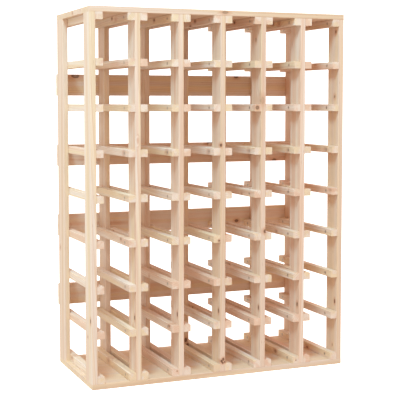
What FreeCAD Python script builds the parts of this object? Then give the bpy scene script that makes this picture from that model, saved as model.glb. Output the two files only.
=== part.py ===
import FreeCAD, Part
import math
import os

import Sketcher
from FreeCAD import Placement, Rotation, Vector

# A wine rack of plain planed pine. Seven ladders stand side by side between a top and a bottom board.
# Each ladder is a front post, a back post and the rails fixed to its faces, and a bottle lies on the two
# rails that face each other across a cell. Four boards across the back keep the ladders square.
# +Z is up, the front faces -Y, and the origin is the middle of the footprint.

ladderCount = 7
railLevels = 9
railGroups = ("low", "middle", "high")
railsPerGroup = railLevels // len(railGroups)
backBoardCount = 4
postRows = 2
screwsPerJoint = 2
countersinkAngle = 90

# How a sketch constraint names the points of a line, arc or circle, and the sketch's own axis.
startPoint = 1
endPoint = 2
centrePoint = 3
sketchAxis = -1

sizes = (
    ("RackWidth", 610.0, "over the two end ladders"),
    ("RackHeight", 820.0, "over the top and bottom boards"),
    ("FrameDepth", 272.0, "front of the posts to the back of the posts"),
    ("BoardThickness", 12.0, "top board and bottom board"),
    ("PostThickness", 12.0, "along X"),
    ("PostDepth", 50.0, "along Y"),
    ("RailWidth", 16.0, "along X"),
    ("RailHeight", 16.0, "along Z"),
    ("BackBoardHeight", 50.0, "along Z"),
    ("BackBoardThickness", 12.0, "along Y, behind the posts"),
    ("BackBoardMargin", 137.0, "end of the rack to the nearest back board"),
    ("EasedEdge", 1.0, "radius along the planed edges"),
    ("RailShank", 3.5, "screws that hold the rails"),
    ("RailHead", 7.0, "across the countersunk head"),
    ("RailScrewStagger", 6.0, "between the screws that meet from a post's two faces"),
    ("RailScrewCover", 3.0, "wood left in the post past the tip"),
    ("FrameShank", 4.0, "screws that hold the boards"),
    ("FrameHead", 8.0, "across the countersunk head"),
    ("FrameScrewEdge", 12.5, "screw to the nearest edge of the post or back board"),
    ("PostEndBite", 28.0, "screw held in the end of a post"),
    ("BackScrewGap", 4.0, "tip of a back board screw to the middle of a rail screw"),
    ("ShankClearance", 0.25, "around a shank where it only passes through"),
    ("RecessLength", 3.4, "cross recess in a screw head"),
    ("RecessWidth", 0.9, "of each arm"),
    ("RecessDepth", 1.2, "below the head"),
)

# What follows from the sizes, as expressions.
frontY = "(-(Sizes.FrameDepth + Sizes.BackBoardThickness) / 2)"
rearY = f"({frontY} + Sizes.FrameDepth)"
middleY = f"({frontY} + Sizes.FrameDepth / 2)"
postLength = "(Sizes.RackHeight - 2 * Sizes.BoardThickness)"
ladderSpan = "(Sizes.RackWidth - Sizes.PostThickness)"
ladderPitch = f"({ladderSpan} / {ladderCount - 1})"
railSpan = f"({postLength} - Sizes.RailHeight)"
railPitch = f"({railSpan} / {railLevels - 1})"
postRowPitch = "(Sizes.FrameDepth - Sizes.PostDepth)"
backBoardSpan = "(Sizes.RackHeight - 2 * Sizes.BackBoardMargin - Sizes.BackBoardHeight)"
backBoardPitch = f"({backBoardSpan} / {backBoardCount - 1})"
postScrewPitch = "(Sizes.PostDepth - 2 * Sizes.FrameScrewEdge)"
backScrewPitch = "(Sizes.BackBoardHeight - 2 * Sizes.FrameScrewEdge)"
firstPostMiddle = "((-Sizes.RackWidth + Sizes.PostThickness) / 2)"
leftRailScrew = "((Sizes.PostDepth + Sizes.RailScrewStagger) / 2)"
rightRailScrew = "((Sizes.PostDepth - Sizes.RailScrewStagger) / 2)"
railBite = "(Sizes.PostThickness - Sizes.RailScrewCover)"
looseRailHole = "(Sizes.RailShank + 2 * Sizes.ShankClearance)"
looseFrameHole = "(Sizes.FrameShank + 2 * Sizes.ShankClearance)"
backBite = f"({rightRailScrew} - Sizes.BackScrewGap)"

doc = FreeCAD.newDocument("WineRack")
sheet = doc.addObject("Spreadsheet::Sheet", "Sizes")
for row, (alias, value, meaning) in enumerate(sizes, start=1):
    sheet.set(f"A{row}", alias)
    sheet.set(f"B{row}", str(value))
    sheet.set(f"C{row}", meaning)
    sheet.setAlias(f"B{row}", alias)
doc.recompute()

subParts = []


def value(expression):
    """The size that an expression has now, in millimetres."""
    result = sheet.evalExpression(expression)
    return float(getattr(result, "Value", result))


def newBody(label, solids=1):
    """A body that ends up as the given number of separate solids."""
    body = doc.addObject("PartDesign::Body", label)
    body.Label = label
    body.AllowCompound = solids > 1
    subParts.append((body, solids))
    return body


def place(body, x, y, z, rotation=Rotation()):
    """Put a body where three expressions say."""
    body.Placement = Placement(Vector(), rotation)
    body.setExpression("Placement.Base.x", x)
    body.setExpression("Placement.Base.y", y)
    body.setExpression("Placement.Base.z", z)


def originFeature(body, role):
    return next(feature for feature in body.Origin.OriginFeatures if feature.Role == role)


def newSketch(body, name, role, offset="0"):
    """A sketch on one of the body's own origin planes, or off it along the plane's normal."""
    sketch = body.newObject("Sketcher::SketchObject", name)
    sketch.AttachmentSupport = [(originFeature(body, role), "")]
    sketch.MapMode = "FlatFace"
    sketch.setExpression("AttachmentOffset.Base.z", offset)
    return sketch


def bindDistance(sketch, kind, geometry, point, expression):
    """Hold a sketch point at a distance from the sketch origin, along DistanceX or DistanceY."""
    constraint = Sketcher.Constraint(kind, sketchAxis, startPoint, geometry, point, value(expression))
    index = sketch.addConstraint(constraint)
    sketch.setExpression(f"Constraints[{index}]", expression)


def drawEasedRectangle(sketch, width, height, ease):
    """A rectangle in the positive corner of the sketch, with a small arc at each of its corners."""
    w, h, r = value(width), value(height), value(ease)
    sides = (((r, 0), (w - r, 0)), ((w, r), (w, h - r)), ((w - r, h), (r, h)), ((0, h - r), (0, r)))
    corners = ((w - r, r), (w - r, h - r), (r, h - r), (r, r))
    for start, end in sides:
        sketch.addGeometry(Part.LineSegment(Vector(*start), Vector(*end)), False)
    for index, centre in enumerate(corners):
        circle = Part.Circle(Vector(*centre), Vector(0, 0, 1), r)
        startAngle = math.radians(90 * (index - 1))
        sketch.addGeometry(Part.ArcOfCircle(circle, startAngle, startAngle + math.radians(90)), False)
    for side, direction in enumerate(("Horizontal", "Vertical", "Horizontal", "Vertical")):
        arc = side + len(sides)
        nextSide = (side + 1) % len(sides)
        sketch.addConstraint(Sketcher.Constraint("Tangent", side, endPoint, arc, startPoint))
        sketch.addConstraint(Sketcher.Constraint("Tangent", arc, endPoint, nextSide, startPoint))
        sketch.addConstraint(Sketcher.Constraint(direction, side))
        if side:
            sketch.addConstraint(Sketcher.Constraint("Equal", len(sides), arc))
    bottom, right, top = range(3)
    sketch.addConstraint(Sketcher.Constraint("PointOnObject", bottom, startPoint, sketchAxis))
    bindDistance(sketch, "DistanceX", bottom, startPoint, ease)
    bindDistance(sketch, "DistanceX", right, startPoint, width)
    bindDistance(sketch, "DistanceY", right, startPoint, ease)
    bindDistance(sketch, "DistanceY", top, startPoint, height)


def drawCircles(sketch, centres, diameter):
    for across, up in centres:
        circle = Part.Circle(Vector(value(across), value(up)), Vector(0, 0, 1), value(diameter) / 2)
        geometry = sketch.addGeometry(circle, False)
        bindDistance(sketch, "DistanceX", geometry, centrePoint, across)
        bindDistance(sketch, "DistanceY", geometry, centrePoint, up)
        index = sketch.addConstraint(Sketcher.Constraint("Diameter", geometry, value(diameter)))
        sketch.setExpression(f"Constraints[{index}]", diameter)


def planedTimber(body, role, width, height, length):
    """A planed stick or board: an eased section on an origin plane, as long as the grain runs."""
    section = newSketch(body, f"{body.Label}_section", role)
    drawEasedRectangle(section, width, height, "Sizes.EasedEdge")
    timber = body.newObject("PartDesign::Pad", f"{body.Label}_timber")
    timber.Profile = section
    timber.Reversed = role == "XZ_Plane"
    timber.setExpression("Length", length)
    doc.recompute()
    return timber


def drill(body, name, role, centres, diameter, offset="0", alongNormal=False, depth=None, head=None):
    """Holes into a face that lies off an origin plane, blind to a depth or countersunk right through."""
    centreSketch = newSketch(body, f"{body.Label}_{name}_centres", role, offset)
    drawCircles(centreSketch, centres, diameter)
    holes = body.newObject("PartDesign::Hole", f"{body.Label}_{name}")
    holes.Profile = centreSketch
    doc.recompute()
    holes.Reversed = alongNormal
    holes.DrillPoint = "Flat"
    holes.setExpression("Diameter", diameter)
    if depth is None:
        holes.DepthType = "ThroughAll"
        holes.HoleCutType = "Countersink"
        holes.HoleCutCountersinkAngle = countersinkAngle
        holes.setExpression("HoleCutDiameter", head)
    else:
        holes.DepthType = "Dimension"
        holes.setExpression("Depth", depth)
    doc.recompute()
    return holes


def repeatInRow(body, name, role, count, span, features):
    """Repeat features along an origin axis, in equal steps over a span."""
    row = body.newObject("PartDesign::LinearPattern", f"{body.Label}_{name}")
    row.Originals = features
    row.Direction = (originFeature(body, role), [""])
    row.setExpression("Length", span)
    row.Occurrences = count
    body.Tip = row
    doc.recompute()


def endBoard(label, baseHeight, outerFace, drillUp):
    """The top or the bottom board, with countersunk holes over the ends of every post."""
    board = newBody(label)
    planedTimber(board, "YZ_Plane", "Sizes.FrameDepth", "Sizes.BoardThickness", "Sizes.RackWidth")
    acrossDepth = (
        "Sizes.FrameScrewEdge",
        "Sizes.PostDepth - Sizes.FrameScrewEdge",
        "Sizes.FrameDepth - Sizes.PostDepth + Sizes.FrameScrewEdge",
        "Sizes.FrameDepth - Sizes.FrameScrewEdge",
    )
    centres = [("Sizes.PostThickness / 2", y) for y in acrossDepth]
    holes = drill(board, "screw_holes", "XY_Plane", centres, looseFrameHole,
                  offset=outerFace, alongNormal=drillUp, head="Sizes.FrameHead")
    repeatInRow(board, "hole_row", "X_Axis", ladderCount, ladderSpan, [holes])
    place(board, "-Sizes.RackWidth / 2", frontY, baseHeight)


def post(label, ladder, y, isBack):
    """A post on edge, with pilot holes for its rails on one or both faces and for the boards."""
    body = newBody(label)
    planedTimber(body, "XY_Plane", "Sizes.PostThickness", "Sizes.PostDepth", postLength)
    railMiddle = "Sizes.RailHeight / 2"
    if ladder > 1:
        left = drill(body, "left_pilots", "YZ_Plane", [(leftRailScrew, railMiddle)], "Sizes.RailShank",
                     alongNormal=True, depth=railBite)
        repeatInRow(body, "left_pilot_row", "Z_Axis", railLevels, railSpan, [left])
    if ladder < ladderCount:
        right = drill(body, "right_pilots", "YZ_Plane", [(rightRailScrew, railMiddle)], "Sizes.RailShank",
                      offset="Sizes.PostThickness", depth=railBite)
        repeatInRow(body, "right_pilot_row", "Z_Axis", railLevels, railSpan, [right])
    endCentres = [
        ("Sizes.PostThickness / 2", "Sizes.FrameScrewEdge"),
        ("Sizes.PostThickness / 2", "Sizes.PostDepth - Sizes.FrameScrewEdge"),
    ]
    drill(body, "foot_pilots", "XY_Plane", endCentres, "Sizes.FrameShank",
          alongNormal=True, depth="Sizes.PostEndBite")
    drill(body, "head_pilots", "XY_Plane", endCentres, "Sizes.FrameShank",
          offset=postLength, depth="Sizes.PostEndBite")
    if isBack:
        lowest = "Sizes.BackBoardMargin - Sizes.BoardThickness"
        backCentres = [
            ("Sizes.PostThickness / 2", f"{lowest} + Sizes.FrameScrewEdge"),
            ("Sizes.PostThickness / 2", f"{lowest} + Sizes.BackBoardHeight - Sizes.FrameScrewEdge"),
        ]
        back = drill(body, "back_pilots", "XZ_Plane", backCentres, "Sizes.FrameShank",
                     offset="-Sizes.PostDepth", alongNormal=True, depth=backBite)
        repeatInRow(body, "back_pilot_row", "Z_Axis", backBoardCount, backBoardSpan, [back])
    place(body, ladderX(ladder), y, "Sizes.BoardThickness")


def ladderX(ladder):
    """The left face of a ladder's posts, counted from 1 at the left."""
    return f"(-Sizes.RackWidth / 2 + {ladder - 1} * {ladderPitch})"


def railGroup(label, ladder, onLeft, group):
    """Three levels of rails on one side of a ladder. The right side's are the same rails turned round."""
    rails = newBody(label, solids=railsPerGroup)
    timber = planedTimber(rails, "XZ_Plane", "Sizes.RailWidth", "Sizes.RailHeight", "Sizes.FrameDepth")
    centres = [
        (leftRailScrew, "Sizes.RailHeight / 2"),
        (f"Sizes.FrameDepth - {rightRailScrew}", "Sizes.RailHeight / 2"),
    ]
    holes = drill(rails, "screw_holes", "YZ_Plane", centres, looseRailHole,
                  alongNormal=True, head="Sizes.RailHead")
    repeatInRow(rails, "levels", "Z_Axis", railsPerGroup, f"{railsPerGroup - 1} * {railPitch}",
                [timber, holes])
    z = f"Sizes.BoardThickness + {group * railsPerGroup} * {railPitch}"
    if onLeft:
        place(rails, f"{ladderX(ladder)} - Sizes.RailWidth", frontY, z)
    else:
        place(rails, f"{ladderX(ladder)} + Sizes.PostThickness + Sizes.RailWidth", rearY, z,
              Rotation(Vector(0, 0, 1), 180))


def backBoard(label, level):
    """A board across the back of all the ladders, countersunk from behind."""
    board = newBody(label)
    planedTimber(board, "YZ_Plane", "Sizes.BackBoardThickness", "Sizes.BackBoardHeight", "Sizes.RackWidth")
    centres = [
        ("Sizes.PostThickness / 2", "Sizes.FrameScrewEdge"),
        ("Sizes.PostThickness / 2", "Sizes.BackBoardHeight - Sizes.FrameScrewEdge"),
    ]
    holes = drill(board, "screw_holes", "XZ_Plane", centres, looseFrameHole,
                  offset="-Sizes.BackBoardThickness", alongNormal=True, head="Sizes.FrameHead")
    repeatInRow(board, "hole_row", "X_Axis", ladderCount, ladderSpan, [holes])
    place(board, "-Sizes.RackWidth / 2", rearY, f"Sizes.BackBoardMargin + {level} * {backBoardPitch}")


def countersunkScrew(shank, head, length):
    """One screw along Z, its head's flat top at the origin, with a pointed tip and a cross recess."""
    headDepth = (head - shank) / 2 / math.tan(math.radians(countersinkAngle / 2))
    outline = Part.makePolygon([
        Vector(0, 0, 0),
        Vector(head / 2, 0, 0),
        Vector(shank / 2, 0, headDepth),
        Vector(shank / 2, 0, length - shank),
        Vector(0, 0, length),
        Vector(0, 0, 0),
    ])
    turned = Part.Face(outline).revolve(Vector(), Vector(0, 0, 1), 360)
    length, width, depth = (value(f"Sizes.Recess{side}") for side in ("Length", "Width", "Depth"))
    alongX = Part.makeBox(length, width, depth, Vector(-length / 2, -width / 2, 0))
    alongY = Part.makeBox(width, length, depth, Vector(-width / 2, -length / 2, 0))
    return turned.cut(alongX.fuse(alongY).removeSplitter())


def screwSet(label, kind, length, places, x, y, z):
    """Equal Rail or Frame screws as one sub-part. Each place is a point and the way a screw points."""
    screw = countersunkScrew(value(f"Sizes.{kind}Shank"), value(f"Sizes.{kind}Head"), value(length))
    copies = []
    for point, direction in places:
        copy = screw.copy()
        copy.Placement = Placement(point, Rotation(Vector(0, 0, 1), direction))
        copies.append(copy)
    screws = doc.addObject("Part::Feature", label)
    screws.Label = label
    screws.Shape = Part.makeCompound(copies)
    screws.Placement = Placement(Vector(value(x), value(y), value(z)), Rotation())
    subParts.append((screws, len(places)))


def railScrews():
    """A screw at each end of each rail, from the cell into the post. The set is placed by the upright
    middle of the frame, and half a turn about it takes the left-hand rails' screws to the others."""
    front = value(f"{frontY} + {leftRailScrew} - {middleY}")
    back = value(f"{rearY} - {rightRailScrew} - {middleY}")
    places = []
    for ladder in range(2, ladderCount + 1):
        x = value(f"{ladderX(ladder)} - Sizes.RailWidth")
        for level in range(railLevels):
            z = value(f"Sizes.RailHeight / 2 + {level} * {railPitch}")
            for y in (front, back):
                places.append((Vector(x, y, z), Vector(1, 0, 0)))
                places.append((Vector(-x, -y, z), Vector(-1, 0, 0)))
    screwSet("rail_screws", "Rail", f"Sizes.RailWidth + {railBite}", places,
             "0", middleY, "Sizes.BoardThickness")


def boardScrews(label, outerFace, direction):
    """Screws through the top or bottom board, two into the end of each post."""
    places = []
    for ladder in range(ladderCount):
        x = value(f"{ladder} * {ladderPitch}")
        for row in range(postRows):
            for screw in range(screwsPerJoint):
                y = value(f"{row} * {postRowPitch} + {screw} * {postScrewPitch}")
                places.append((Vector(x, y, 0), direction))
    screwSet(label, "Frame", "Sizes.BoardThickness + Sizes.PostEndBite", places,
             firstPostMiddle, f"{frontY} + Sizes.FrameScrewEdge", outerFace)


def backBoardScrews():
    """Screws from behind through the back boards, two into each back post."""
    places = []
    for ladder in range(ladderCount):
        x = value(f"{ladder} * {ladderPitch}")
        for level in range(backBoardCount):
            for screw in range(screwsPerJoint):
                z = value(f"{level} * {backBoardPitch} + {screw} * {backScrewPitch}")
                places.append((Vector(x, 0, z), Vector(0, -1, 0)))
    screwSet("back_board_screws", "Frame", f"Sizes.BackBoardThickness + {backBite}", places,
             firstPostMiddle, f"{rearY} + Sizes.BackBoardThickness",
             "Sizes.BackBoardMargin + Sizes.FrameScrewEdge")


def checkDocument():
    """Stop if any object failed, a cut removed nothing or a sub-part is not the solids it should be."""
    for item in doc.Objects:
        if "Invalid" in item.State or "Error" in item.State:
            raise RuntimeError(f"{item.Label} failed: {item.State}")
        if item.TypeId == "PartDesign::Hole" and item.Shape.Volume >= item.BaseFeature.Shape.Volume:
            raise RuntimeError(f"{item.Label} cuts nothing")
    for body, solids in subParts:
        if body.Shape.isNull() or not body.Shape.isValid():
            raise RuntimeError(f"{body.Label} has no valid shape")
        if len(body.Shape.Solids) != solids:
            raise RuntimeError(f"{body.Label} has {len(body.Shape.Solids)} solids, not {solids}")


endBoard("bottom_board", "0", "0", True)
endBoard("top_board", "Sizes.RackHeight - Sizes.BoardThickness", "Sizes.BoardThickness", False)
for ladder in range(1, ladderCount + 1):
    post(f"front_post_{ladder}", ladder, frontY, False)
    post(f"back_post_{ladder}", ladder, f"{rearY} - Sizes.PostDepth", True)
    for group, groupName in enumerate(railGroups):
        if ladder > 1:
            railGroup(f"rails_{ladder}_left_{groupName}", ladder, True, group)
        if ladder < ladderCount:
            railGroup(f"rails_{ladder}_right_{groupName}", ladder, False, group)
for level in range(backBoardCount):
    backBoard(f"back_board_{level + 1}", level)
railScrews()
boardScrews("bottom_board_screws", "0", Vector(0, 0, 1))
boardScrews("top_board_screws", "Sizes.RackHeight", Vector(0, 0, -1))
backBoardScrews()
doc.recompute()
checkDocument()

os.makedirs("parts", exist_ok=True)
for body, solids in subParts:
    body.Shape.exportStep(f"parts/{body.Label}.step")
print(f"{len(subParts)} sub-parts, {sum(solids for body, solids in subParts)} solids")
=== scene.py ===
import math
import random

import bpy
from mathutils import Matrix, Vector


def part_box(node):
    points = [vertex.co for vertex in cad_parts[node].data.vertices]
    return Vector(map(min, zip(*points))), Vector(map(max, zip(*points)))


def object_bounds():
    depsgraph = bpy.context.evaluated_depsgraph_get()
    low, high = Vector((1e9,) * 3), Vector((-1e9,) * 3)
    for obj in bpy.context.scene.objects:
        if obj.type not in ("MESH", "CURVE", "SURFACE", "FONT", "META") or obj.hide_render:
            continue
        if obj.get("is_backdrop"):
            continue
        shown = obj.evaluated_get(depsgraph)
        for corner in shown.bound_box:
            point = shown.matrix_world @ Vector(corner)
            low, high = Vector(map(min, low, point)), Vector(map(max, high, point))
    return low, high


# Looks for a pine wine rack: every timber gets its own piece of pine with rings, fibres and knots,
# and the screws get dull zinc. The shapes are the frame's own.

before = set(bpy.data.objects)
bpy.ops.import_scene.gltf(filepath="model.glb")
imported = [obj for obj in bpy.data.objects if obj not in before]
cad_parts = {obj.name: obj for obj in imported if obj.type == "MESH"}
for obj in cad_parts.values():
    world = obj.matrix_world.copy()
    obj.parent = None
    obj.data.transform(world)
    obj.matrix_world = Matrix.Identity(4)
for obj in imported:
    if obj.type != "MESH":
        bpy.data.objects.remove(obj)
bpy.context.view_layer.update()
print("rack loaded:", len(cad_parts), "nodes")


# Short ways to add shader nodes. An input is either a number or another node's output.

def addNode(tree, kind, inputs=None, **settings):
    node = tree.nodes.new("ShaderNode" + kind)
    for name, value in settings.items():
        setattr(node, name, value)
    for key, value in (inputs or {}).items():
        plugIn(tree, node.inputs[key], value)
    return node


def plugIn(tree, socket, value):
    if isinstance(value, bpy.types.NodeSocket):
        tree.links.new(value, socket)
    else:
        socket.default_value = value


def doMath(tree, operation, *values):
    return addNode(tree, "Math", dict(enumerate(values)), operation=operation).outputs[0]


def doVector(tree, operation, *values):
    node = addNode(tree, "VectorMath", dict(enumerate(values)), operation=operation)
    return node.outputs["Value" if operation == "LENGTH" else "Vector"]


def joinAxes(tree, x, y, z):
    return addNode(tree, "CombineXYZ", {"X": x, "Y": y, "Z": z}).outputs[0]


def ease(tree, value, fromLow, fromHigh, toLow=0.0, toHigh=1.0):  # a smooth step between two values
    ranges = {"Value": value, "From Min": fromLow, "From Max": fromHigh, "To Min": toLow, "To Max": toHigh}
    return addNode(tree, "MapRange", ranges, interpolation_type="SMOOTHSTEP").outputs["Result"]


def mixColour(tree, amount, first, second):
    mixer = addNode(tree, "Mix", data_type="RGBA")
    for name, value in (("Factor_Float", amount), ("A_Color", first), ("B_Color", second)):
        plugIn(tree, next(socket for socket in mixer.inputs if socket.identifier == name), value)
    return next(socket for socket in mixer.outputs if socket.identifier == "Result_Color")


def noise(tree, place, stretch, detail=2.0, roughness=0.5, output="Fac"):
    inputs = {"Vector": doVector(tree, "MULTIPLY", place, stretch),
              "Scale": 1.0, "Detail": detail, "Roughness": roughness}
    return addNode(tree, "TexNoise", inputs).outputs[output]


# Pine. Colours are linear, lengths are metres, and noise is given in bumps for each metre:
# across, through and along the stick.

pine = {
    "early": (0.870, 0.724, 0.592, 1),   # pale wood between the rings
    "late": (0.690, 0.430, 0.260, 1),    # darker line that closes each year
    "rosy": (0.860, 0.590, 0.420, 1),    # pinker bands
    "honey": (0.875, 0.685, 0.450, 1),   # yellower bands
    "deep": (0.740, 0.495, 0.330, 1),    # what the darkest sticks lean towards
    "fleck": (0.420, 0.210, 0.100, 1),   # short resin marks
    "halo": (0.630, 0.310, 0.165, 1),    # stained wood round a knot
    "heart": (0.095, 0.040, 0.019, 1),   # the knot itself
    "ring": (0.0022, 0.0044),            # width of a year's growth
    "pith": (0.025, 0.080),              # how far the middle of the tree lies from the stick
    "lean": 0.018,                       # how much the rings drift over a metre of stick
    "wander": 0.010,                     # how far a ring strays from round
    "lateness": (0.12, 0.62),            # how strongly the late wood shows, from band to band
    "ringPush": 0.0035,                  # how far the rings bend round a knot
    "ragged": 0.0022,                    # how uneven a knot's outline is
    "bump": 0.0002,                      # height of the raised grain
    "driftBumps": (20, 20, 1.9),         # noise that makes the rings stray
    "yearBumps": (110, 110, 3),          # noise that makes the years uneven
    "bandBumps": (52, 52, 1.3),          # pinker bands
    "tingeBumps": (75, 75, 1.8),         # yellower bands
    "tingeOffset": (3.1, 1.7, 9.2),      # keeps the yellower bands off the pinker ones
    "streakBumps": (260, 260, 3),
    "fibreBumps": (1500, 1500, 26),
    "fleckBumps": (1100, 1100, 75),
    "raggedBumps": (170, 170, 170),      # noise round a knot's outline
    "seed": 48,
}


def makePineGroup():
    tree = bpy.data.node_groups.new("pineGrain", "ShaderNodeTree")
    sockets = (("Place", "Vector", "INPUT"), ("Push", "Float", "INPUT"), ("Ring", "Float", "INPUT"),
               ("Tone", "Float", "INPUT"), ("Blush", "Float", "INPUT"), ("Color", "Color", "OUTPUT"),
               ("Late", "Float", "OUTPUT"), ("Fibre", "Float", "OUTPUT"))
    for name, kind, way in sockets:
        tree.interface.new_socket(name, in_out=way, socket_type="NodeSocket" + kind)
    given = tree.nodes.new("NodeGroupInput").outputs
    place = given["Place"]
    # growth rings: distance from the middle of the tree, bent by slow noise and by knots
    drift = doMath(tree, "SUBTRACT", noise(tree, place, pine["driftBumps"]), 0.5)
    across = doVector(tree, "LENGTH", doVector(tree, "MULTIPLY", place, (1, 1, 0)))
    radius = doMath(tree, "MULTIPLY_ADD", drift, pine["wander"], across)
    radius = doMath(tree, "ADD", radius, given["Push"])
    uneven = noise(tree, place, pine["yearBumps"], 1.0)
    years = doMath(tree, "MULTIPLY_ADD", uneven, 0.6, doMath(tree, "DIVIDE", radius, given["Ring"]))
    phase = doMath(tree, "FRACT", years)
    late = doMath(tree, "MULTIPLY", ease(tree, phase, 0.30, 0.86), ease(tree, phase, 1.0, 0.90))
    # broad bands of colour, then narrow streaks, then fibres
    band = noise(tree, place, pine["bandBumps"])
    tinge = noise(tree, doVector(tree, "ADD", place, pine["tingeOffset"]), pine["tingeBumps"])
    streak = noise(tree, place, pine["streakBumps"])
    fibre = noise(tree, place, pine["fibreBumps"], 3.0, 0.6)
    rosy = doMath(tree, "ADD", band, doMath(tree, "MULTIPLY", given["Blush"], 0.10))
    honey = doMath(tree, "SUBTRACT", tinge, doMath(tree, "MULTIPLY", given["Blush"], 0.10))
    colour = mixColour(tree, ease(tree, rosy, 0.46, 0.68), pine["early"], pine["rosy"])
    colour = mixColour(tree, ease(tree, honey, 0.46, 0.68), colour, pine["honey"])
    colour = mixColour(tree, given["Tone"], colour, pine["deep"])
    lateness = doMath(tree, "MULTIPLY", late, ease(tree, streak, 0.30, 0.72, *pine["lateness"]))
    colour = mixColour(tree, lateness, colour, pine["late"])
    shade = doMath(tree, "MULTIPLY", ease(tree, fibre, 0.25, 0.75, 0.93, 1.05),
                   ease(tree, streak, 0.25, 0.75, 0.965, 1.035))
    shade = doMath(tree, "MULTIPLY", shade, ease(tree, band, 0.3, 0.7, 1.035, 0.955))
    colour = doVector(tree, "MULTIPLY", colour, joinAxes(tree, shade, shade, shade))
    fleck = ease(tree, noise(tree, place, pine["fleckBumps"], 0.0), 0.80, 0.86)
    fleck = doMath(tree, "MULTIPLY", fleck, ease(tree, late, 0.2, 0.7, 0.1, 0.7))
    colour = mixColour(tree, fleck, colour, pine["fleck"])
    found = tree.nodes.new("NodeGroupOutput").inputs
    tree.links.new(colour, found["Color"])
    tree.links.new(late, found["Late"])
    tree.links.new(fibre, found["Fibre"])
    return tree


pineGroup = makePineGroup()


def drawKnots(tree, spot, found):  # gives the hearts, the halos and how far the rings are pushed aside
    uneven = noise(tree, spot, pine["raggedBumps"], output="Color")
    uneven = doVector(tree, "SUBTRACT", uneven, (0.5, 0.5, 0.5))
    ragged = doVector(tree, "MULTIPLY", uneven, (pine["ragged"],) * 3)
    spot = doVector(tree, "ADD", spot, ragged)
    heart = halo = push = 0.0
    for middle, radii, dark in found:
        away = doVector(tree, "SUBTRACT", spot, middle)
        away = doVector(tree, "LENGTH", doVector(tree, "DIVIDE", away, radii))
        core = ease(tree, away, 1.2, 0.7, 0.0, dark)
        rim = doMath(tree, "MULTIPLY", ease(tree, away, 0.45, 0.85), 0.25)
        core = doMath(tree, "MULTIPLY", core, doMath(tree, "ADD", rim, 0.75))
        heart = doMath(tree, "MAXIMUM", heart, core)
        halo = doMath(tree, "MAXIMUM", halo, ease(tree, away, 3.0, 0.9, 0.0, 0.35 + 0.4 * dark))
        push = doMath(tree, "ADD", push, ease(tree, away, 4.5, 0.6, 0.0, pine["ringPush"]))
    return heart, halo, push


def pineMaterial(name, grain, low, high, found, luck, tone, copies=1, staves=1):
    # grain names the axes across, through and along the stick. low and high are the corners of one
    # stick, and copies more of them stand above it. A board's staves lie beside one another.
    material = bpy.data.materials.new(name)
    material.use_nodes = True
    tree = material.node_tree
    shader = tree.nodes["Principled BSDF"]
    spot = addNode(tree, "TexCoord").outputs["Object"]
    parts = addNode(tree, "SeparateXYZ", {0: spot}).outputs
    middle = {axis: (low[n] + high[n]) / 2 for n, axis in enumerate("XYZ")}
    away = {axis: doMath(tree, "SUBTRACT", parts[axis], middle[axis]) for axis in "XYZ"}
    which = 0.0
    if copies > 1:
        which = doMath(tree, "ROUND", doMath(tree, "DIVIDE", away["Z"], rackPitch))
        away["Z"] = doMath(tree, "SUBTRACT", away["Z"], doMath(tree, "MULTIPLY", which, rackPitch))
    if staves > 1:
        staveWidth = (high.y - low.y) / staves
        which = doMath(tree, "FLOOR", doMath(tree, "DIVIDE", away["Y"], staveWidth))
    angle = luck.uniform(-math.pi, math.pi)
    distance = luck.uniform(*pine["pith"])
    lean = [luck.uniform(-1, 1) * pine["lean"] for _ in range(2)]
    start = luck.uniform(-30, 30)
    blush = luck.uniform(-1, 1)
    place = []
    for axis, offset, drift, shift in zip(
            grain, (distance * math.cos(angle), distance * math.sin(angle)), lean, (0.0079, 0.0131)):
        coordinate = doMath(tree, "MULTIPLY_ADD", away[grain[2]], drift, away[axis])
        place.append(doMath(tree, "ADD", coordinate, doMath(tree, "MULTIPLY_ADD", which, shift, offset)))
    place.append(doMath(tree, "ADD", away[grain[2]], doMath(tree, "MULTIPLY_ADD", which, 1.9, start)))
    if copies > 1 or staves > 1:
        chance = addNode(tree, "TexWhiteNoise", {"W": doMath(tree, "ADD", which, luck.uniform(1, 99))},
                         noise_dimensions="1D").outputs["Value"]
        tone = doMath(tree, "MULTIPLY_ADD", doMath(tree, "SUBTRACT", chance, 0.5), 0.3, tone)
        blush = doMath(tree, "ADD", doMath(tree, "SINE", doMath(tree, "MULTIPLY", chance, 40.0)), blush)
    heart, halo, push = drawKnots(tree, spot, found)
    grainNode = addNode(tree, "Group", node_tree=pineGroup)
    ring = luck.uniform(*pine["ring"])
    inputs = {"Place": joinAxes(tree, *place), "Push": push, "Ring": ring, "Tone": tone, "Blush": blush}
    for key, value in inputs.items():
        plugIn(tree, grainNode.inputs[key], value)
    late, fibre = grainNode.outputs["Late"], grainNode.outputs["Fibre"]
    colour = mixColour(tree, halo, grainNode.outputs["Color"], pine["halo"])
    colour = mixColour(tree, heart, colour, pine["heart"])
    tree.links.new(colour, shader.inputs["Base Color"])
    rough = doMath(tree, "MULTIPLY_ADD", late, -0.08, ease(tree, fibre, 0.2, 0.8, 0.54, 0.68))
    tree.links.new(doMath(tree, "MULTIPLY_ADD", heart, -0.15, rough), shader.inputs["Roughness"])
    height = doMath(tree, "MULTIPLY_ADD", late, 0.5, fibre)
    bump = addNode(tree, "Bump", {"Height": height, "Strength": 0.4, "Distance": pine["bump"]})
    tree.links.new(bump.outputs[0], shader.inputs["Normal"])
    shader.inputs["Specular IOR Level"].default_value = 0.3
    return material


def dressNode(name, material):
    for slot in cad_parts[name].material_slots:
        slot.material = material


# Knots. Each is where it lies in its stick's box, as a share of the width, depth and height, then its
# radius across and along the grain in metres, and from 0, a mere stain, to 1, a black knot.

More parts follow.
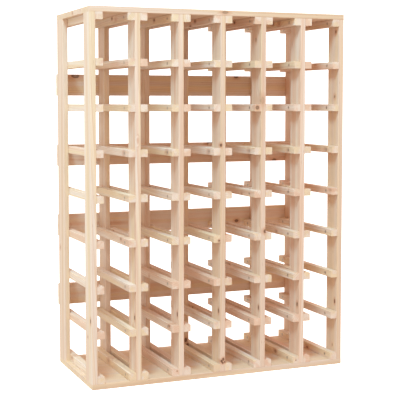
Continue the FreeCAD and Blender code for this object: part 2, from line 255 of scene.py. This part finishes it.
knots = {
    "perMetre": 1.3,             # strewn ones, on average along a stick
    "across": (0.0012, 0.0042),
    "stretch": (1.2, 2.2),
    "dark": (0.0, 0.75),
    "everyFrontPost": [((0.0, 0.21, 0.171), 0.0026, 0.0050, 1.0)],
    "everyMiddleRail": [((0.0, 0.12, 0.955), 0.0048, 0.0060, 0.1)],  # those on the left of a post
    "everyTopRail": [((0.0, 0.41, 0.975), 0.0030, 0.0042, 0.85)],    # these too
    "front_post_2": [((0.5, 0.0, 0.657), 0.0016, 0.0040, 0.0)],
    "front_post_4": [((0.25, 0.0, 0.029), 0.0027, 0.0030, 1.0),
                     ((0.62, 0.0, 0.034), 0.0028, 0.0030, 1.0),
                     ((0.50, 0.0, 0.024), 0.0022, 0.0024, 1.0),
                     ((0.92, 0.0, 0.026), 0.0017, 0.0024, 1.0),
                     ((0.12, 0.0, 0.641), 0.0022, 0.0036, 0.95)],
    "front_post_5": [((0.3, 0.0, 0.766), 0.0044, 0.0085, 0.22), ((1.0, 0.0, 0.393), 0.0016, 0.0045, 0.9)],
    "front_post_7": [((0.0, 0.3, 0.966), 0.0024, 0.0040, 0.9), ((0.0, 0.4, 0.038), 0.0016, 0.0030, 0.6)],
    "back_post_4": [((0.35, 0.0, 0.030), 0.0034, 0.0052, 1.0), ((1.0, 0.0, 0.014), 0.0030, 0.0040, 0.9)],
    "back_board_4": [((0.071, 0.0, 0.94), 0.0060, 0.0100, 0.85),
                     ((0.754, 0.0, 0.96), 0.0034, 0.0060, 0.9)],
    "back_board_3": [((0.930, 0.0, 0.05), 0.0032, 0.0060, 0.85),
                     ((0.636, 0.0, 0.98), 0.0036, 0.0075, 0.9)],
    "back_board_2": [((0.757, 0.0, 0.31), 0.0036, 0.0052, 0.95),
                     ((0.225, 0.0, 0.47), 0.0020, 0.0150, 0.05)],
    "rails_5_left_high": [((0.4, 0.0, 0.040), 0.0046, 0.0070, 0.75)],
    "rails_4_left_middle": [((0.8, 0.0, 0.021), 0.0022, 0.0034, 0.9)],
    "rails_3_left_low": [((0.7, 0.0, 0.052), 0.0012, 0.0030, 0.6)],
    "rails_6_left_low": [((0.5, 0.0, 0.033), 0.0012, 0.0030, 0.6)],
    "top_board": [((0.508, 0.0, 0.6), 0.0032, 0.0075, 0.5), ((0.0, 0.504, 0.5), 0.0028, 0.0060, 0.4)],
}


def chosenKnots(name, low, high, along):
    rows = list(knots.get(name, ()))
    if name.startswith("front_post"):
        rows += knots["everyFrontPost"]
    if name.startswith("rails") and name.endswith("left_middle"):
        rows += knots["everyMiddleRail"]
    if name.startswith("rails") and name.endswith("left_high"):
        rows += knots["everyTopRail"]
    found = []
    for share, across, length, dark in rows:
        middle = Vector(low[n] + share[n] * (high[n] - low[n]) for n in range(3))
        radii = Vector((across,) * 3)
        radii[along] = length
        for n in range(3):
            if n != along and share[n] in (0.0, 1.0):
                radii[n] = 3 * across  # runs a little way in from the face
        found.append((middle, radii, dark))
    return found


def strewnKnots(low, high, along, luck):  # each goes right through the thin way of its stick
    span = high - low
    thin = min((n for n in range(3) if n != along), key=lambda n: span[n])
    found = []
    for _ in range(int(span[along] * knots["perMetre"] + luck.random())):
        middle = Vector(luck.uniform(low[n], high[n]) for n in range(3))
        across = luck.uniform(*knots["across"])
        radii = Vector((across,) * 3)
        radii[along] *= luck.uniform(*knots["stretch"])
        radii[thin] = span[thin]
        found.append((middle, radii, luck.uniform(*knots["dark"])))
    return found


# Timbers: how peachy each front post is, left to right, then the rest of the rack. 0 is the palest
# pine and 1 the deepest. Two numbers are the ends of a range.

tones = {"frontPosts": (0.12, 0.0, 0.22, 0.46, 0.40, 0.0, 0.50), "others": (0.05, 0.38),
         "rails": (0.0, 0.08), "top_board": 0.45, "bottom_board": 0.34}
grains = {"post": "XYZ", "rails": "XZY", "board": "YZX"}
boardStaves = 4
railsPerNode = 3
railLow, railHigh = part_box("rails_2_left_low")
railSection = railHigh.x - railLow.x
rackPitch = (railHigh.z - railLow.z - railSection) / (railsPerNode - 1)  # from one rail to the next


def dressTimber(name, grain, tone, copies=1, staves=1):  # tone is a number, or a low and a high one
    low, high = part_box(name)
    luck = random.Random(f"{pine['seed']} {name}")
    tone = luck.uniform(*tone) if isinstance(tone, tuple) else tone
    along = "XYZ".index(grain[2])
    found = chosenKnots(name, low, high, along)
    stickHigh = high.copy()
    stickHigh.z -= (copies - 1) * rackPitch
    for copy in range(copies):
        lift = Vector((0, 0, copy * rackPitch))
        found += strewnKnots(low + lift, stickHigh + lift, along, luck)
    dressNode(name, pineMaterial(name + "_pine", grain, low, stickHigh, found, luck, tone, copies, staves))


for name in sorted(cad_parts):
    if name.startswith("front_post"):
        dressTimber(name, grains["post"], tones["frontPosts"][int(name[-1]) - 1])
    elif name.startswith("back_post"):
        dressTimber(name, grains["post"], tones["others"])
    elif name.startswith("rails"):
        dressTimber(name, grains["rails"], tones["rails"], copies=railsPerNode)
    elif name.startswith("back_board") and not name.endswith("screws"):
        dressTimber(name, grains["board"], tones["others"])
    elif name in ("top_board", "bottom_board"):
        dressTimber(name, grains["board"], tones[name], staves=boardStaves)
print("pine done")


# Screws

zinc = {
    "bright": (0.72, 0.60, 0.48, 1),
    "dull": (0.46, 0.36, 0.27, 1),
    "roughness": (0.32, 0.55),
    "metallic": 0.7,
    "bump": 0.0001,
    "blotchBumps": (900, 900, 900),
}


def zincMaterial():
    material = bpy.data.materials.new("dull_zinc")
    material.use_nodes = True
    tree = material.node_tree
    shader = tree.nodes["Principled BSDF"]
    spot = addNode(tree, "TexCoord").outputs["Object"]
    blotch = noise(tree, spot, zinc["blotchBumps"], 3.0, 0.6)
    tree.links.new(mixColour(tree, ease(tree, blotch, 0.3, 0.7), zinc["bright"], zinc["dull"]),
                   shader.inputs["Base Color"])
    tree.links.new(ease(tree, blotch, 0.2, 0.8, *zinc["roughness"]), shader.inputs["Roughness"])
    bump = addNode(tree, "Bump", {"Height": blotch, "Strength": 0.4, "Distance": zinc["bump"]})
    tree.links.new(bump.outputs[0], shader.inputs["Normal"])
    shader.inputs["Metallic"].default_value = zinc["metallic"]
    return material


zincFinish = zincMaterial()
for screws in ("rail_screws", "top_board_screws", "bottom_board_screws", "back_board_screws"):
    dressNode(screws, zincFinish)
print("screws done")


# Studio: white paper all round that lights nothing, a soft key from the upper left, and soft light
# from everywhere with more of it from the left and above.

studio = {
    "sweepRadius": 14.0,
    "floorSize": 24.0,
    "keyTurn": 36.0,                  # degrees to the left of the rack's front
    "keyRise": 54.0,                  # degrees up
    "keyDistance": 3.0,
    "keySize": 0.8,
    "keyWatts": 79.0,
    "keyColour": (0.41, 0.78, 1.0),
    "ambient": (0.755, 0.585, 0.51),
    "leftLight": (0.23, 0.48, 0.55),
    "topLight": (0.31, 0.20, 0.18),
}


def whitePaper():
    material = bpy.data.materials.new("white_paper")
    material.use_nodes = True
    shader = material.node_tree.nodes["Principled BSDF"]
    shader.inputs["Base Color"].default_value = (0.9, 0.9, 0.9, 1)
    shader.inputs["Emission Color"].default_value = (1, 1, 1, 1)
    shader.inputs["Emission Strength"].default_value = 1.0
    return material


def makeStage():
    bpy.ops.mesh.primitive_uv_sphere_add(segments=48, ring_count=24, radius=studio["sweepRadius"])
    sweep = bpy.context.object
    sweep.name = "sweep"
    bpy.ops.mesh.primitive_plane_add(size=studio["floorSize"])
    floor = bpy.context.object
    floor.name = "floor"
    white = whitePaper()
    for piece in (sweep, floor):
        piece.data.materials.append(white)
        piece.visible_diffuse = False
        piece.visible_glossy = False
        piece.visible_transmission = False
        piece.visible_shadow = False
        piece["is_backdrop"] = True


def makeKey():
    low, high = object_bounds()
    light = bpy.data.lights.new("key", "AREA")
    light.shape = "DISK"
    light.size = studio["keySize"]
    light.energy = studio["keyWatts"]
    light.color = studio["keyColour"]
    turn, rise = math.radians(studio["keyTurn"]), math.radians(studio["keyRise"])
    away = Vector((-math.sin(turn) * math.cos(rise), -math.cos(turn) * math.cos(rise), math.sin(rise)))
    lamp = bpy.data.objects.new("key", light)
    lamp.location = (low + high) / 2 + away * studio["keyDistance"]
    lamp.rotation_euler = (-away).to_track_quat("-Z", "Y").to_euler()
    bpy.context.scene.collection.objects.link(lamp)


def makeWorld():
    world = bpy.data.worlds.new("studio")
    world.use_nodes = True
    tree = world.node_tree
    direction = addNode(tree, "SeparateXYZ", {0: addNode(tree, "TexCoord").outputs["Generated"]}).outputs
    fromLeft = doMath(tree, "MAXIMUM", doMath(tree, "MULTIPLY", direction["X"], -1.0), 0.0)
    fromTop = doMath(tree, "MAXIMUM", direction["Z"], 0.0)
    light = studio["ambient"]
    for amount, colour in ((fromLeft, studio["leftLight"]), (fromTop, studio["topLight"])):
        lobe = doVector(tree, "MULTIPLY", joinAxes(tree, amount, amount, amount), colour)
        light = doVector(tree, "ADD", light, lobe)
    tree.links.new(light, tree.nodes["Background"].inputs["Color"])
    bpy.context.scene.world = world


makeStage()
makeKey()
makeWorld()
bpy.context.scene.view_settings.view_transform = "Standard"
print("studio done")


# Camera

view = {
    "place": (-0.92613, -2.25188, 0.61776),
    "turn": 22.4224,      # degrees to the right of straight on
    "tilt": 3.8568,       # degrees down
    "lens": 93.278,       # millimetres
    "sensor": 36.0,       # millimetres wide
    "shift": -0.07,
}


def makeCamera():
    data = bpy.data.cameras.new("camera")
    data.lens = view["lens"]
    data.sensor_width = view["sensor"]
    data.shift_y = view["shift"]
    camera = bpy.data.objects.new("camera", data)
    camera.location = view["place"]
    camera.rotation_euler = (math.radians(90 - view["tilt"]), 0, math.radians(-view["turn"]))
    bpy.context.scene.collection.objects.link(camera)
    bpy.context.scene.camera = camera


makeCamera()
print("camera done")
